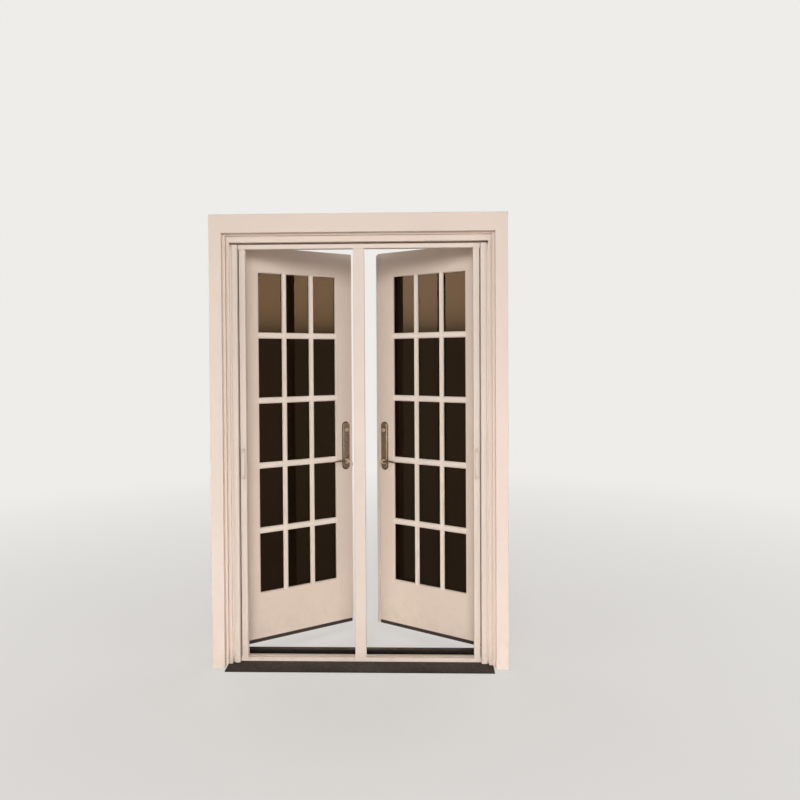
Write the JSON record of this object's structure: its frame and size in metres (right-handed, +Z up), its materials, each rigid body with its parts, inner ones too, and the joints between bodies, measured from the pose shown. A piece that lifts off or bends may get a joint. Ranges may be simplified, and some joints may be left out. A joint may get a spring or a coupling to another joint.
{
  "type": "french doors",
  "caption": "Pair of glazed in-swing french doors standing ajar in their frame, with casing, dark sill, lever locks, astragal and retracted insect screens on a centre post.",
  "frame": {"origin": "middle of the doorway on the sill's underside, in the plane of the wall face behind the casing", "axes": "+X to the right seen from outside, +Y into the room, +Z up"},
  "size_m": [1.436, 0.6049, 2.193],
  "materials": {
    "frame_paint": "warm white paint, satin",
    "leaf_paint": "warm white paint, satin",
    "coated_aluminium": "warm white powder coat, satin",
    "bronze_sill": "dark bronze anodised, satin",
    "glass": "clear, darkened by a low-e tint",
    "spacer_aluminium": "mill",
    "antique_nickel": "aged satin nickel",
    "satin_steel": "satin plated",
    "seal_rubber": "matt",
    "guide_plastic": "moulded",
    "insect_mesh": "coated glass-fibre mesh"
  },
  "bodies": {
    "frame": {"left_jamb": "frame_paint", "right_jamb": "frame_paint", "head_jamb": "frame_paint", "left_casing": "frame_paint", "right_casing": "frame_paint", "head_casing": "frame_paint", "sill": "bronze_sill", "threshold_cap": "bronze_sill", "frame_seals": "seal_rubber", "bolt_keepers": "satin_steel", "frame_hinges": "satin_steel", "housing_caps": "guide_plastic", "screen_top_track": "coated_aluminium", "screen_bottom_track": "coated_aluminium", "screen_center_post": "coated_aluminium", "left_screen_housing": "coated_aluminium", "right_screen_housing": "coated_aluminium"},
    "left_leaf": {"left_hinge_stile": "leaf_paint", "left_lock_stile": "leaf_paint", "left_top_rail": "leaf_paint", "left_bottom_rail": "leaf_paint", "left_glass": "glass", "left_glass_spacer": "spacer_aluminium", "left_outer_grille": "leaf_paint", "left_inner_grille": "leaf_paint", "left_door_sweep": "seal_rubber", "left_cover_plates": "antique_nickel", "left_hinge_plates": "satin_steel", "left_lock_case": "satin_steel", "left_key_cylinder": "antique_nickel"},
    "left_levers": {"left_levers": "antique_nickel"},
    "left_thumb_turn": {"left_thumb_turn": "antique_nickel"},
    "left_latch_bolt": {"left_latch_bolt": "satin_steel"},
    "left_deadbolt": {"left_deadbolt": "satin_steel"},
    "right_leaf": {"right_hinge_stile": "leaf_paint", "right_lock_stile": "leaf_paint", "right_top_rail": "leaf_paint", "right_bottom_rail": "leaf_paint", "right_glass": "glass", "right_glass_spacer": "spacer_aluminium", "right_outer_grille": "leaf_paint", "right_inner_grille": "leaf_paint", "right_door_sweep": "seal_rubber", "right_cover_plates": "antique_nickel", "right_hinge_plates": "satin_steel", "right_gear_case": "satin_steel", "right_astragal": "coated_aluminium", "right_strike_plates": "satin_steel"},
    "right_levers": {"right_levers": "antique_nickel"},
    "right_top_bolt": {"right_top_bolt": "satin_steel"},
    "right_bottom_bolt": {"right_bottom_bolt": "satin_steel"},
    "left_screen_bar": {"left_pull_bar": "coated_aluminium", "left_bar_shoes": "guide_plastic"},
    "left_roller": {"left_roller_tube": "spacer_aluminium", "left_mesh_roll": "insect_mesh"},
    "right_screen_bar": {"right_pull_bar": "coated_aluminium", "right_bar_shoes": "guide_plastic"},
    "right_roller": {"right_roller_tube": "spacer_aluminium", "right_mesh_roll": "insect_mesh"}
  },
  "joints": [
    {"name": "left_leaf_swing", "type": "hinge", "parent": "frame", "child": "left_leaf", "pos_m": [-0.63725, 0.1715, 1], "axis": [0, 0, 1], "range_deg": [-33.5, 61.5]},
    {"name": "right_leaf_swing", "type": "hinge", "parent": "frame", "child": "right_leaf", "pos_m": [0.63725, 0.1715, 1], "axis": [0, 0, -1], "range_deg": [-31.5, 63.5]},
    {"name": "left_lever_turn", "type": "hinge", "parent": "left_leaf", "child": "left_levers", "pos_m": [-0.12515, 0.47537, 0.935], "axis": [0.5519, -0.8339, 0], "range_deg": [0, 45], "stiffness_Nm_per_rad": 1.2, "springref_deg": -34.38},
    {"name": "left_latch_slide", "type": "slide", "parent": "left_leaf", "child": "left_latch_bolt", "axis": [0.8339, 0.5519, 0], "range_m": [-0.0121, 0]},
    {"name": "left_thumb_turn_spin", "type": "hinge", "parent": "left_leaf", "child": "left_thumb_turn", "pos_m": [-0.12515, 0.47537, 1.107], "axis": [0.5519, -0.8339, 0], "range_deg": [0, 90]},
    {"name": "left_deadbolt_slide", "type": "slide", "parent": "left_leaf", "child": "left_deadbolt", "axis": [0.8339, 0.5519, 0], "range_m": [0, 0.0201]},
    {"name": "right_lever_lift", "type": "hinge", "parent": "right_leaf", "child": "right_levers", "pos_m": [0.11486, 0.45732, 0.935], "axis": [-0.5225, -0.8526, 0], "range_deg": [0, 45]},
    {"name": "right_top_bolt_slide", "type": "slide", "parent": "right_leaf", "child": "right_top_bolt", "axis": [0, 0, 1], "range_m": [0, 0.0251]},
    {"name": "right_bottom_bolt_slide", "type": "slide", "parent": "right_leaf", "child": "right_bottom_bolt", "axis": [0, 0, -1], "range_m": [0, 0.0251]},
    {"name": "left_screen_pull", "type": "slide", "parent": "frame", "child": "left_screen_bar", "axis": [1, 0, 0], "range_m": [0, 0.527], "stiffness_N_per_m": 6, "springref_m": -1},
    {"name": "left_roller_spin", "type": "hinge", "parent": "frame", "child": "left_roller", "pos_m": [-0.60355, 0.0275, 1], "axis": [0, 0, -1], "continuous": true},
    {"name": "right_screen_pull", "type": "slide", "parent": "frame", "child": "right_screen_bar", "axis": [-1, 0, 0], "range_m": [0, 0.527], "stiffness_N_per_m": 6, "springref_m": -1},
    {"name": "right_roller_spin", "type": "hinge", "parent": "frame", "child": "right_roller", "pos_m": [0.60355, 0.0275, 1], "axis": [0, 0, 1], "continuous": true}
  ],
  "couplings": [
    {"joint": "left_latch_slide", "follows": "left_lever_turn", "m_per_rad": -0.015279},
    {"joint": "left_deadbolt_slide", "follows": "left_thumb_turn_spin", "m_per_rad": 0.012732},
    {"joint": "right_top_bolt_slide", "follows": "right_lever_lift", "m_per_rad": 0.031831},
    {"joint": "right_bottom_bolt_slide", "follows": "right_lever_lift", "m_per_rad": 0.031831},
    {"joint": "left_roller_spin", "follows": "left_screen_pull", "rad_per_m": 95.238},
    {"joint": "right_roller_spin", "follows": "right_screen_pull", "rad_per_m": 95.238}
  ]
}
